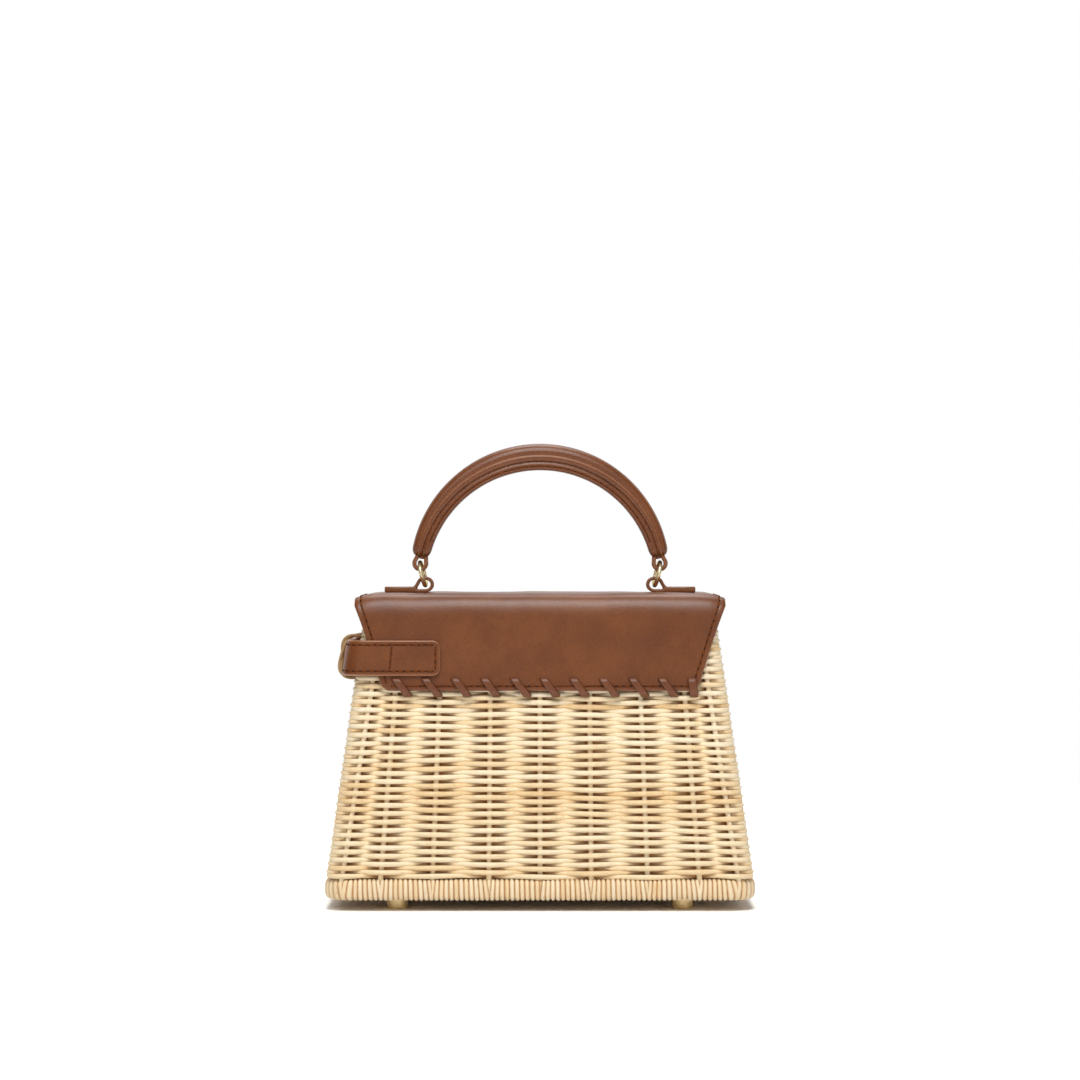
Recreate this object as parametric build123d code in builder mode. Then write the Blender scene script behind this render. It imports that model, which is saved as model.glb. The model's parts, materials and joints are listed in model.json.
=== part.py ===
"""Small wicker handbag with a leather lid.

A tapered woven basket stands on four brass feet. The leather lid is laced to the rear wall, folds
over the mouth and hangs down the front. A short strap from the rear panel passes through a cane
keeper on the left end and meets a strap from the lid's flap. A padded handle hangs from two rings.

Millimetres. +X is right and -Y is the laced rear side, as seen from behind. The origin lies on the
ground, midway between the feet.
"""

import os
from math import atan2, cos, degrees, pi, radians, sin, sqrt

from build123d import *

# Basket
base_width = 219.0
base_depth = 96.0
mouth_width = 178.0
mouth_depth = 74.0
corner_radius = 14.0
wall_height = 134.4
wall_thickness = 7.0
row_pitch = 2.1
weave_depth = 4.2
stake_foot_shares = (0.237, 0.499, 0.74)
stake_head_shares = (0.281, 0.56, 0.792)
end_stake_shares = (-0.42, 0, 0.42)
corner_stake_angle = 20.0
corner_angles = (0, 30.0, 60.0, 90.0)
gap_width = 4.2
gap_height = 1.3
gap_offset = 4.6
gap_side_rows = (8, 24, 40)
gap_end_rows = (13, 33)

# Wrapped borders
rim_overhang = 0.5
rim_height = 11.2
rim_thickness = 9.5
rim_bulge = 1.6
wrap_pitch = 7.0
wrap_depth = 0.7
mouth_rim_height = 8.0
mouth_rim_thickness = 7.0
mouth_rim_edge = 4.2
mouth_rim_inset = 0.4

# Base board and feet
ground_clearance = 5.6
board_recess = 1.4
board_thickness = 4.0
board_clearance = 0.2
foot_top_radius = 6.0
foot_sole_radius = 5.1
foot_sides = 24
foot_inset_x = 37.0
foot_inset_y = 20.5
screw_radius = 1.6
screw_sides = 8
screw_bite = 4.0
screw_head_radius = 3.4
screw_head_height = 1.6

# Leather lid and rear panel
leather = 2.0
leather_gap = 0.3
lid_width = 189.4
lid_fold_radius = 7.0
flap_height = 49.6
flap_foot_width = 160.0
flap_corner_radius = 4.0
hinge_gap = 0.3

# Lacing
lace_count = 11
lace_pitch = 15.05
lace_first = -73.2
lace_width = 4.4
lace_thickness = 1.3
lace_rise = 5.4
lace_drop = 2.4
lace_slant = 38.0
lace_last_slant = 8.0
lace_clearance = 0.2
lace_bend = 0.6
lace_end_gap = 0.1

# Straps, keeper and clasp
strap_width = 18.0
strap_thickness = 2.4
strap_middle = 128.6
strap_sewn_end = 50.9
strap_bend = 9.0
strap_slack = 5.0
strap_corner = 2.6
strap_gap = 0.3
strap_rear_tip = 24.0
strap_front_tip = 5.0
sewn_gap = 0.1
clasp_place = 14.5
magnet_radius = 4.5
magnet_thickness = 1.3
clasp_sides = 24
cap_radius = 5.2
cap_height = 1.2
clasp_clearance = 0.1
keeper_cane = 2.3
keeper_nest_share = 0.92
keeper_sides = 6
keeper_foot_row = 47
keeper_top_row = 59
keeper_reach = 11.8
keeper_bend = 4.0
keeper_place = -4.0
keeper_end_gap = 0.1

# Handle tabs and rings
tab_leather = 1.6
tab_width = 7.2
tab_reach = 21.6
tab_corner = 1.8
tab_bore = 2.5
loop_sides = 20
ring_radius = 6.2
ring_wire = 1.05
ring_sides = 24
ring_wire_angles = (-67.5, -22.5, 22.5, 67.5)
ring_spread = 122.0
ring_lean = 12.8

# Handle grip
grip_outer_radius = 67.7
grip_inner_radius = 59.0
grip_height = 13.8
grip_cover_width = 12.6
grip_crown_width = 4.4
grip_shoulder_width = 9.4
grip_core_width = 9.8
grip_strip_width = 11.4
grip_shoulder_share = 0.12
grip_cheek_share = 0.33
grip_cover_share = 0.52
grip_core_share = 0.58
grip_strip_share = 0.77
grip_edge_share = 0.83
grip_steps = 26
grip_end_angle = 12.0
stem_width = 5.6
stem_length = 14.0
stem_seat_clearance = 0.15

# Border and base board follow the basket
rim_width = base_width + 2 * rim_overhang
rim_depth = base_depth + 2 * rim_overhang

# Heights
rim_bottom = ground_clearance
rim_top = rim_bottom + rim_height
wall_top = rim_top + wall_height
mouth_top = wall_top + mouth_rim_height
lid_under = mouth_top + leather_gap
lid_top = lid_under + leather
board_bottom = rim_bottom + board_recess
board_top = board_bottom + board_thickness
flap_bottom = lid_top - flap_height

# Lean of the end walls and of the long walls
end_lean = atan2(base_width - mouth_width, 2 * wall_height)
side_lean = atan2(base_depth - mouth_depth, 2 * wall_height)


def half_width(z):
    """Half the basket's outer width at height z."""
    share = (z - rim_top) / wall_height
    return (base_width + share * (mouth_width - base_width)) / 2


def half_depth(z):
    """Half the basket's outer depth at height z."""
    share = (z - rim_top) / wall_height
    return (base_depth + share * (mouth_depth - base_depth)) / 2


os.makedirs("parts", exist_ok=True)


def keep(part, name):
    """Labels a finished piece and writes it."""
    part.label = name
    export_step(part, f"parts/{name}.step")


def side_frame(turn, z):
    """Directions out of and along one side of the basket, with its half length and its distance out."""
    out = Vector(1, 0, 0).rotate(Axis.Z, turn)
    side = Vector(0, 1, 0).rotate(Axis.Z, turn)
    if turn % 180:
        return out, side, half_width(z), half_depth(z)
    return out, side, half_depth(z), half_width(z)


basket_sides = (-90, 0, 90, 180)


def wall_outline(z, inset):
    """Outline of the basket at height z, drawn in by inset, with a short chord at each step of a corner."""
    points = []
    for turn in basket_sides:
        out, side, along, across = side_frame(turn, z)
        centre = out * (across - corner_radius) + side * (along - corner_radius)
        for angle in corner_angles:
            points.append(centre + out.rotate(Axis.Z, angle) * (corner_radius - inset))
    return points


def wall_point(turn, z, place, inset):
    """Point of the basket at height z: place runs along one side and on round its corners."""
    out, side, along, across = side_frame(turn, z)
    straight = along - corner_radius
    if abs(place) <= straight:
        spot = out * (across - inset) + side * place
    else:
        angle = (abs(place) - straight) / corner_radius
        reach = corner_radius - inset
        end = straight + reach * sin(angle)
        spot = out * (across - corner_radius + reach * cos(angle)) + side * (end if place > 0 else -end)
    return Vector(spot.X, spot.Y, z)


def side_stakes(z):
    """Places of the seven stakes of a long wall at height z; they draw together towards the mouth."""
    climb = (z - rim_top) / wall_height
    shares = [foot + climb * (head - foot) for foot, head in zip(stake_foot_shares, stake_head_shares)]
    right = [share * half_width(z) for share in shares]
    return [-place for place in reversed(right)] + [0] + right


def stake_places(z):
    """All stakes in order round the basket at height z, as the side's turn and the place along it."""
    stakes = []
    for turn in basket_sides:
        along = side_frame(turn, z)[2]
        corner = along - corner_radius + corner_radius * radians(corner_stake_angle)
        row = side_stakes(z) if turn % 180 else [share * along for share in end_stake_shares]
        stakes += [(turn, place) for place in (-corner, *row, corner)]
    return stakes


# Woven wall: every row is one cane, outside one stake and inside the next
row_count = round(wall_height / row_pitch)
row_height = wall_height / row_count


def row_level(row):
    """Height of the middle of a row of cane."""
    return rim_top + (row + 0.5) * row_height


def cane_row(z, insets):
    """Points of one row at height z, each with how far it is drawn in at its stake."""
    points = []
    for index, (turn, place) in enumerate(stake_places(z)):
        inset = insets[index % 2]
        points.append((wall_point(turn, z, place, inset), inset))
    return points


over_under = (0, weave_depth)
half_way = (weave_depth / 2, weave_depth / 2)
cane_rows = [cane_row(rim_top, half_way)]
for row in range(row_count):
    cane_rows.append(cane_row(row_level(row), over_under if row % 2 == 0 else over_under[::-1]))
cane_rows.append(cane_row(wall_top, half_way))

weave_faces = [Face(Wire.make_polygon([point for point, _ in row])) for row in (cane_rows[0], cane_rows[-1])]
for lower, upper in zip(cane_rows, cane_rows[1:]):
    for index in range(len(lower)):
        ahead = (index + 1) % len(lower)
        corners = [lower[index], lower[ahead], upper[ahead], upper[index]]
        # The fold between two rows joins the corners that lie further in
        if corners[0][1] + corners[2][1] < corners[1][1] + corners[3][1]:
            corners = corners[1:] + corners[:1]
        first, second, third, fourth = [point for point, _ in corners]
        weave_faces.append(Face(Wire.make_polygon([first, second, third])))
        weave_faces.append(Face(Wire.make_polygon([first, third, fourth])))

side_gaps = []
for index, row in enumerate(gap_side_rows):
    shift = gap_offset if index % 2 else -gap_offset
    for order, place in enumerate(side_stakes(row_level(row))):
        level = row_level(row + order % 2)
        side_gaps.append((place + shift, 0, level))
end_gaps = []
for index, row in enumerate(gap_end_rows):
    level = row_level(row)
    shift = gap_offset if index % 2 else -gap_offset
    for share in (end_stake_shares[0], end_stake_shares[-1]):
        end_gaps.append((0, share * half_depth(level) + shift, level))

with BuildPart() as basket_wall:
    add(Solid(Shell(weave_faces)))
    for level in (rim_top, wall_top):
        with BuildSketch(Plane.XY.offset(level)):
            with BuildLine():
                Polyline(*wall_outline(level, wall_thickness), close=True)
            make_face()
    loft(ruled=True, mode=Mode.SUBTRACT)
    with Locations(*side_gaps):
        Box(gap_width, 2 * base_depth, gap_height, mode=Mode.SUBTRACT)
    with Locations(*end_gaps):
        Box(2 * base_width, gap_width, gap_height, mode=Mode.SUBTRACT)
keep(basket_wall.part, "basket_wall")


def wrapped_outline(width, depth, radius, turns):
    """Outline of a border wrapped with flat cane, one ridge for each turn."""
    smooth = RectangleRounded(width, depth, radius).wire()
    points = []
    for index in range(2 * turns):
        place = smooth.position_at(index / (2 * turns))
        across = smooth.tangent_at(index / (2 * turns)).rotate(Axis.Z, 90)
        inward = across if across.dot(place) < 0 else -across
        points.append(Vector(place.X, place.Y) + inward * (wrap_depth * (index % 2)))
    return points


# Wrapped border round the foot of the basket
rim_girth = 2 * (rim_width + rim_depth) - (8 - 2 * pi) * corner_radius
rim_turns = round(rim_girth / wrap_pitch)
rim_sections = []
for level, inset in (
    (rim_bottom, rim_bulge),
    (rim_bottom + rim_height / 2, 0),
    (rim_top, rim_bulge),
):
    outline = wrapped_outline(rim_width - 2 * inset, rim_depth - 2 * inset, corner_radius - inset, rim_turns)
    rim_sections.append((level, outline))

with BuildPart() as base_rim:
    for level, outline in rim_sections:
        with BuildSketch(Plane.XY.offset(level)):
            with BuildLine():
                Polyline(*outline, close=True)
            make_face()
    loft(ruled=True)
    with BuildSketch(Plane.XY.offset(rim_bottom)):
        RectangleRounded(
            rim_width - 2 * rim_thickness,
            rim_depth - 2 * rim_thickness,
            corner_radius - rim_thickness,
        )
    extrude(amount=rim_height, mode=Mode.SUBTRACT)
keep(base_rim.part, "base_rim")

# Border round the mouth, sloped off under the folds of the leather
with BuildPart() as mouth_rim:
    for level, inset in (
        (wall_top, mouth_rim_inset),
        (mouth_top - mouth_rim_edge, mouth_rim_inset),
        (mouth_top, mouth_rim_inset + mouth_rim_edge),
    ):
        with BuildSketch(Plane.XY.offset(level)):
            with BuildLine():
                Polyline(*wall_outline(level, inset), close=True)
            make_face()
    loft(ruled=True)
    for level in (wall_top, mouth_top):
        with BuildSketch(Plane.XY.offset(level)):
            with BuildLine():
                Polyline(*wall_outline(level, mouth_rim_inset + mouth_rim_thickness), close=True)
            make_face()
    loft(ruled=True, mode=Mode.SUBTRACT)
keep(mouth_rim.part, "mouth_rim")

# Base board inside the border
with BuildPart() as base_board:
    with BuildSketch(Plane.XY.offset(board_bottom)):
        RectangleRounded(
            rim_width - 2 * (rim_thickness + board_clearance),
            rim_depth - 2 * (rim_thickness + board_clearance),
            corner_radius - rim_thickness - board_clearance,
        )
    extrude(amount=board_thickness)
keep(base_board.part, "base_board")

# Tapered brass feet under the board
foot_places = GridLocations(rim_width - 2 * foot_inset_x, rim_depth - 2 * foot_inset_y, 2, 2)
foot_flare = degrees(atan2(foot_top_radius - foot_sole_radius, board_bottom))
foot_names = ("foot_rear_left", "foot_front_left", "foot_rear_right", "foot_front_right")
for foot_name, place in zip(foot_names, foot_places.locations):
    with BuildPart() as foot:
        with BuildSketch():
            RegularPolygon(foot_sole_radius, foot_sides)
        extrude(amount=board_bottom, taper=-foot_flare)
    keep(foot.part.moved(place), foot_name)

# Foot screws, driven from inside through the board, cutting their own thread in board and foot
with BuildPart() as foot_screws:
    with BuildSketch(Plane.XY.offset(board_bottom - screw_bite)):
        with foot_places:
            RegularPolygon(screw_radius, screw_sides)
    extrude(amount=screw_bite + board_thickness)
    with BuildSketch(Plane.XY.offset(board_top)):
        with foot_places:
            RegularPolygon(screw_head_radius, 6)
    extrude(amount=screw_head_height)
keep(foot_screws.part, "foot_screws")

# Lines of the leather as seen from the end, through the middle of its thickness
skin = (leather_gap + leather / 2) / cos(side_lean)
fold_mid = lid_fold_radius - leather / 2
skin_top = lid_top - leather / 2
rear_top = -(half_depth(skin_top) + skin)
rear_foot = -(half_depth(flap_bottom) + skin)
hinge_y = rear_top + lid_fold_radius


def flap_outline():
    """Outline of the leather from behind: full width on top, tapered below."""
    with BuildSketch(Plane.XZ) as outline:
        with BuildLine():
            Polyline(
                (-lid_width / 2, lid_top + leather),
                (-lid_width / 2, lid_top - lid_fold_radius / 2),
                (-flap_foot_width / 2, flap_bottom),
                (flap_foot_width / 2, flap_bottom),
                (lid_width / 2, lid_top - lid_fold_radius / 2),
                (lid_width / 2, lid_top + leather),
                close=True,
            )
        make_face()
        fillet(outline.vertices().group_by(Axis.Y)[0], flap_corner_radius)
    return outline.sketch


leather_shape = flap_outline()

# Outer face of the rear panel: x along the bag, y up the slope, z outwards
rear_out = Vector(0, -cos(side_lean), sin(side_lean))
rear_face = Plane(
    origin=Vector(0, rear_foot, flap_bottom) + rear_out * (leather / 2),
    x_dir=(1, 0, 0),
    z_dir=rear_out,
)
lace_slants = [lace_slant] * (lace_count - 1) + [lace_last_slant]
lace_places = [(lace_first + i * lace_pitch, lace_rise) for i in range(lace_count)]

# Rear panel, laced along its foot
with BuildPart() as rear_panel:
    with BuildSketch(Plane.YZ):
        with BuildLine():
            FilletPolyline(
                (rear_foot, flap_bottom),
                (rear_top, skin_top),
                (hinge_y, skin_top),
                radius=fold_mid,
            )
        trace(line_width=leather)
    extrude(amount=lid_width / 2, both=True)
    extrude(leather_shape, amount=base_depth, both=True, mode=Mode.INTERSECT)
    with BuildSketch(rear_face):
        for slant, place in zip(lace_slants, lace_places):
            with Locations(place):
                Rectangle(
                    lace_width + 2 * lace_clearance,
                    lace_thickness + 2 * lace_clearance,
                    rotation=slant,
                )
    extrude(amount=-2 * leather, mode=Mode.SUBTRACT)
keep(rear_panel.part, "rear_panel")

# Lacing: each turn leaves a hole, slants down over the edge and dives into the weave
lace_depth = leather + leather_gap - lace_end_gap
lace_high = lace_clearance + lace_thickness / 2
with BuildPart() as lacing:
    for slant, place in zip(lace_slants, lace_places):
        lean = radians(slant)
        run = (lace_rise + lace_drop) / cos(lean)
        lace_plane = Plane(
            origin=rear_face.from_local_coords(place),
            x_dir=rear_face.x_dir * sin(lean) - rear_face.y_dir * cos(lean),
            z_dir=rear_face.x_dir * -cos(lean) - rear_face.y_dir * sin(lean),
        )
        with BuildSketch(lace_plane):
            with BuildLine():
                Polyline(
                    (0, -lace_depth),
                    (0, lace_high - lace_bend),
                    (lace_bend, lace_high),
                    (run - lace_bend, lace_high),
                    (run, lace_high - lace_bend),
                    (run, -lace_depth),
                )
            trace(line_width=lace_thickness)
        extrude(amount=lace_width / 2, both=True)
keep(lacing.part, "lacing")

# Lid: top panel and front flap in one, hinged on the fold behind it
with BuildPart() as lid:
    with BuildSketch(Plane.YZ):
        with BuildLine():
            FilletPolyline(
                (hinge_y + hinge_gap, skin_top),
                (-rear_top, skin_top),
                (-rear_foot, flap_bottom),
                radius=fold_mid,
            )
        trace(line_width=leather)
    extrude(amount=lid_width / 2, both=True)
    extrude(leather_shape, amount=base_depth, both=True, mode=Mode.INTERSECT)
keep(lid.part, "lid")

# Two strap halves: sewn to the rear panel and to the lid's flap, lapped on the left end wall
strap_levels = (strap_middle - strap_width / 2, strap_middle + strap_width / 2)
sewn_skin = (leather_gap + leather + sewn_gap + strap_thickness / 2) / cos(side_lean)
end_skin = (strap_slack + strap_thickness / 2) / cos(end_lean)
lap_skin = end_skin + (strap_gap + strap_thickness) / cos(end_lean)
clasp_out = Vector(-cos(end_lean), 0, sin(end_lean))
clasp_x = -half_width(strap_middle) - (strap_slack + strap_thickness) / cos(end_lean)
clasp_face = Plane(origin=(clasp_x, clasp_place, strap_middle), x_dir=(0, 1, 0), z_dir=clasp_out)


def strap_tips(strap, way):
    """Short edges of a strap half at its sewn end and at its lapped end."""
    sewn_face = strap.faces().sort_by(Axis.X)[-1]
    lapped_face = strap.faces().sort_by(Axis.Y)[way]
    sewn_edges = sewn_face.edges().sort_by(SortBy.LENGTH)[:2]
    lapped_edges = lapped_face.edges().sort_by(SortBy.LENGTH)[:2]
    return list(sewn_edges) + list(lapped_edges)


with BuildPart() as strap_rear:
    for level in strap_levels:
        with BuildSketch(Plane.XY.offset(level)):
            with BuildLine():
                FilletPolyline(
                    (-strap_sewn_end, -half_depth(level) - sewn_skin),
                    (-half_width(level) - end_skin, -half_depth(level) - sewn_skin),
                    (-half_width(level) - end_skin, strap_rear_tip),
                    radius=strap_bend,
                )
            trace(line_width=strap_thickness)
    loft(ruled=True)
    chamfer(strap_tips(strap_rear, -1), strap_corner)
    with BuildSketch(clasp_face):
        RegularPolygon(magnet_radius + clasp_clearance, clasp_sides)
    extrude(amount=-magnet_thickness - 2 * clasp_clearance, mode=Mode.SUBTRACT)
keep(strap_rear.part, "strap_rear")

with BuildPart() as strap_front:
    for level in strap_levels:
        with BuildSketch(Plane.XY.offset(level)):
            with BuildLine():
                FilletPolyline(
                    (-strap_sewn_end, half_depth(level) + sewn_skin),
                    (-half_width(level) - lap_skin, half_depth(level) + sewn_skin),
                    (-half_width(level) - lap_skin, strap_front_tip),
                    radius=strap_bend,
                )
            trace(line_width=strap_thickness)
    loft(ruled=True)
    chamfer(strap_tips(strap_front, 0), strap_corner)
keep(strap_front.part, "strap_front")

# Magnetic clasp: a disc let into the rear strap, a brass cap on the front one
with BuildPart() as clasp_magnet:
    with BuildSketch(clasp_face.offset(-clasp_clearance)):
        RegularPolygon(magnet_radius, clasp_sides)
    extrude(amount=-magnet_thickness)
keep(clasp_magnet.part, "clasp_magnet")

with BuildPart() as clasp_cap:
    with BuildSketch(clasp_face.offset(strap_gap + strap_thickness)):
        RegularPolygon(cap_radius, clasp_sides)
    extrude(amount=cap_height)
keep(clasp_cap.part, "clasp_cap")

# Cane keeper on the left end wall, a pair of canes bent over the rear strap
keeper_top = row_level(keeper_top_row)
keeper_foot = row_level(keeper_foot_row)
keeper_skin = keeper_reach - keeper_cane / 2
keeper_side = keeper_cane * keeper_nest_share / 2
with BuildPart() as strap_keeper:
    for side in (-keeper_side, keeper_side):
        with BuildLine(Plane.XZ.offset(-keeper_place - side)) as bow:
            Polyline(
                (-half_width(keeper_top) - keeper_end_gap, keeper_top),
                (-half_width(keeper_top) - keeper_skin + keeper_bend, keeper_top),
                (-half_width(keeper_top - keeper_bend) - keeper_skin, keeper_top - keeper_bend),
                (-half_width(keeper_foot + keeper_bend) - keeper_skin, keeper_foot + keeper_bend),
                (-half_width(keeper_foot) - keeper_skin + keeper_bend, keeper_foot),
                (-half_width(keeper_foot) - keeper_end_gap, keeper_foot),
            )
        with BuildSketch(Plane(origin=bow.line @ 0, x_dir=(0, 1, 0), z_dir=bow.line % 0)):
            RegularPolygon(keeper_cane / 2, keeper_sides)
        sweep(path=bow.line, transition=Transition.RIGHT)
keep(strap_keeper.part, "strap_keeper")

# Handle: the wire of each ring passes through a loop on the lid and one on the grip
wire_sag = ring_radius - sqrt(ring_radius**2 - (tab_width / 2) ** 2)
loop_reach = ring_radius - wire_sag / 2
loop_radius = tab_bore + tab_leather
lean = radians(ring_lean)
tab_height = lid_top + loop_radius
ring_height = tab_height + loop_reach * cos(lean)
loop_height = ring_height + loop_reach * cos(lean)
tab_spread = ring_spread - 2 * loop_reach * sin(lean)
loop_spread = ring_spread + 2 * loop_reach * sin(lean)
grip_top = ring_height + grip_outer_radius
inner_centre = grip_top - grip_height - grip_inner_radius
end_angle = radians(grip_end_angle)

for side, name in ((-1, "left"), (1, "right")):
    # Leather tab on the lid, folded round the ring
    with BuildPart() as tab:
        with BuildSketch(Plane.XZ):
            with Locations((side * (tab_spread + tab_reach) / 2, lid_top + tab_leather)):
                Rectangle(tab_reach, 2 * tab_leather)
            with Locations((side * tab_spread / 2, tab_height)):
                RegularPolygon(loop_radius, loop_sides)
                RegularPolygon(tab_bore, loop_sides, mode=Mode.SUBTRACT)
        extrude(amount=tab_width / 2, both=True)
        outer_face = tab.faces().sort_by(Axis.X)[-1 if side > 0 else 0]
        chamfer(outer_face.edges().filter_by(Axis.Z), tab_corner)
    keep(tab.part, f"handle_tab_{name}")

    # Metal ring, leaning outwards
    with BuildPart() as ring:
        for way, wire_side in ((Mode.ADD, 1), (Mode.SUBTRACT, -1)):
            for angle in ring_wire_angles:
                reach = wire_side * ring_wire * cos(radians(angle))
                with BuildSketch(Plane.XY.offset(ring_wire * sin(radians(angle)))):
                    RegularPolygon(ring_radius + reach, ring_sides)
            loft(ruled=True, mode=way)
    tilt = Location((side * ring_spread / 2, 0, ring_height), (0, 90 + side * ring_lean, 0))
    keep(ring.part.moved(tilt), f"ring_{name}")

    # Leather loop sewn into the end of the grip
    with BuildPart() as loop:
        with BuildSketch(Plane.XZ):
            with Locations(Location((side * loop_spread / 2, loop_height), side * grip_end_angle)):
                RegularPolygon(loop_radius, loop_sides)
                Rectangle(stem_width, stem_length, align=(Align.CENTER, Align.MIN))
                RegularPolygon(tab_bore, loop_sides, mode=Mode.SUBTRACT)
        extrude(amount=tab_width / 2, both=True)
    keep(loop.part, f"handle_loop_{name}")

# Padded grip: a rounded cover, a groove along each side and a strip inside the bow, thinner at its ends
inner_drop = ring_height - inner_centre


def grip_section(angle):
    """Half of the grip's section where the bow stands at angle, measured from the rings' axis."""
    inner = sqrt(grip_inner_radius**2 - (inner_drop * cos(angle)) ** 2) - inner_drop * sin(angle)
    depth = grip_outer_radius - inner
    return (
        (grip_crown_width / 2, grip_outer_radius),
        (grip_shoulder_width / 2, grip_outer_radius - grip_shoulder_share * depth),
        (grip_cover_width / 2, grip_outer_radius - grip_cheek_share * depth),
        (grip_cover_width / 2, grip_outer_radius - grip_cover_share * depth),
        (grip_core_width / 2, grip_outer_radius - grip_core_share * depth),
        (grip_core_width / 2, grip_outer_radius - grip_strip_share * depth),
        (grip_strip_width / 2, grip_outer_radius - grip_edge_share * depth),
        (grip_strip_width / 2, inner),
    )


with BuildPart() as handle_grip:
    for step in range(grip_steps + 1):
        angle = end_angle + (pi - 2 * end_angle) * step / grip_steps
        half = grip_section(angle)
        other_half = [(-across, out) for across, out in reversed(half)]
        with BuildSketch(Plane((0, 0, ring_height), (0, 1, 0), (sin(angle), 0, -cos(angle)))):
            with BuildLine():
                Polyline(*half, *other_half, close=True)
            make_face()
    loft(ruled=True)
    for side in (-1, 1):
        with BuildSketch(Plane.XZ):
            with Locations(Location((side * loop_spread / 2, loop_height), side * grip_end_angle)):
                Rectangle(
                    stem_width + 2 * stem_seat_clearance,
                    stem_length + stem_seat_clearance,
                    align=(Align.CENTER, Align.MIN),
                )
        extrude(amount=tab_width / 2 + stem_seat_clearance, both=True, mode=Mode.SUBTRACT)
keep(handle_grip.part, "handle_grip")
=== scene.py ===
"""Rattan handbag with a leather lid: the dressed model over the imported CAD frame.

Lengths in this file are millimetres until a mesh is made, and then metres.
"""
import json
import math

import bmesh
import bpy
import numpy as np
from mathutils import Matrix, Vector

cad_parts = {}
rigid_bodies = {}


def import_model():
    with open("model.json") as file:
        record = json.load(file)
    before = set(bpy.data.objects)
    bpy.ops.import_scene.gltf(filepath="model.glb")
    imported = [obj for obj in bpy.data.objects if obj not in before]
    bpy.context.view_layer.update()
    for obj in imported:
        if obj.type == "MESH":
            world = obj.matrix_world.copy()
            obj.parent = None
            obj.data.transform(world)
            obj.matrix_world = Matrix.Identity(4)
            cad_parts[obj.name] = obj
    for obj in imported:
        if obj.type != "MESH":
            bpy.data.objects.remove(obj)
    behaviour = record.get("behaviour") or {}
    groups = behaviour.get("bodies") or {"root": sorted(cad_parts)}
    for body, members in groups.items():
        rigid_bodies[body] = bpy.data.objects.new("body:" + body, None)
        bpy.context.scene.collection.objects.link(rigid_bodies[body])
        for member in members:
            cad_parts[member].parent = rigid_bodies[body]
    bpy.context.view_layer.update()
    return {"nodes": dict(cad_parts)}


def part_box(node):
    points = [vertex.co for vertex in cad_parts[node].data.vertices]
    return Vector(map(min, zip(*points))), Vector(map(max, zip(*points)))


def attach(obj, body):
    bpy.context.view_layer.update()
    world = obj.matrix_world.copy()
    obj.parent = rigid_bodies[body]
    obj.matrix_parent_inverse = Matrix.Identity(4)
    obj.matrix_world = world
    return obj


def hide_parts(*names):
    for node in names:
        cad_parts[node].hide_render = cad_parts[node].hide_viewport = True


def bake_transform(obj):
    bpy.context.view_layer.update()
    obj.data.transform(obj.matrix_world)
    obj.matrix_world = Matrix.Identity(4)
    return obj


for stray in list(bpy.data.objects):
    bpy.data.objects.remove(stray)

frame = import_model()
rng = np.random.default_rng(41)
MM = 0.001
TURN = 2 * math.pi

# Basket, the same named sizes as the solids.
base_width, base_depth = 219.0, 96.0
mouth_width, mouth_depth = 178.0, 74.0
weave_corner = 12.0
rim_bottom, rim_top = 5.6, 16.8
wall_height = 134.4
wall_top = rim_top + wall_height
mouth_top = 159.2
stake_foot_x, stake_head_x = (26.0, 54.6, 81.0), (25.0, 49.8, 70.5)
end_stake_shares = (-0.42, 0.0, 0.42)
long_post, end_post = 20 / 90, 100 / 90
row_count, strand, stake = 64, 2.45, 2.8
row_pitch = wall_height / row_count

# Leather, strap and lacing.
leather = 2.0
lid_top, flap_bottom = 161.5, 111.9
lid_half, flap_half, flap_corner = 94.7, 80.0, 4.0
fold_fall, fold_reach = 12.5, 8.0
droop_start, droop = 80.0, 2.4
side_lean = math.radians(4.68)
end_lean = math.radians(8.67)
rear_foot_y = 41.52
strap_low, strap_high, strap_thick = 119.6, 137.6, 2.4
strap_sewn_x, strap_face, strap_bend = -50.9, 3.612, 9.0

# Handle, rings and tabs.
ring_x, ring_z, ring_radius, ring_wire = 61.0, 171.084, 6.2, 1.05
ring_lean = math.radians(12.8)
tab_x, tab_z = 59.754, 165.6
loop_x, loop_z = 62.246, 176.568
grip_outer, grip_inner, grip_drop = 67.7, 59.0, 5.1
grip_end = math.radians(12.0)


def half_width(z):
    return (base_width - (base_width - mouth_width) * (z - rim_top) / wall_height) / 2


def half_depth(z):
    return (base_depth - (base_depth - mouth_depth) * (z - rim_top) / wall_height) / 2


def unit(v):
    v = np.asarray(v, float)
    return v / np.maximum(np.linalg.norm(v, axis=-1, keepdims=True), 1e-9)


def running(path):
    steps = np.linalg.norm(np.diff(path, axis=0), axis=1)
    return np.concatenate([[0.0], np.cumsum(steps)])


def at_length(path, length, s):
    return np.stack([np.interp(s, length, path[:, k]) for k in range(path.shape[1])], -1)


def smooth_path(points, rounds=4):
    """Corner cutting: a soft curve through a few control points, with its ends kept."""
    p = np.asarray(points, float)
    for _ in range(rounds):
        q = 0.75 * p[:-1] + 0.25 * p[1:]
        r = 0.25 * p[:-1] + 0.75 * p[1:]
        cut = np.stack([q, r], 1).reshape(-1, p.shape[1])
        p = np.vstack([p[:1], cut, p[-1:]])
    return p


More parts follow.
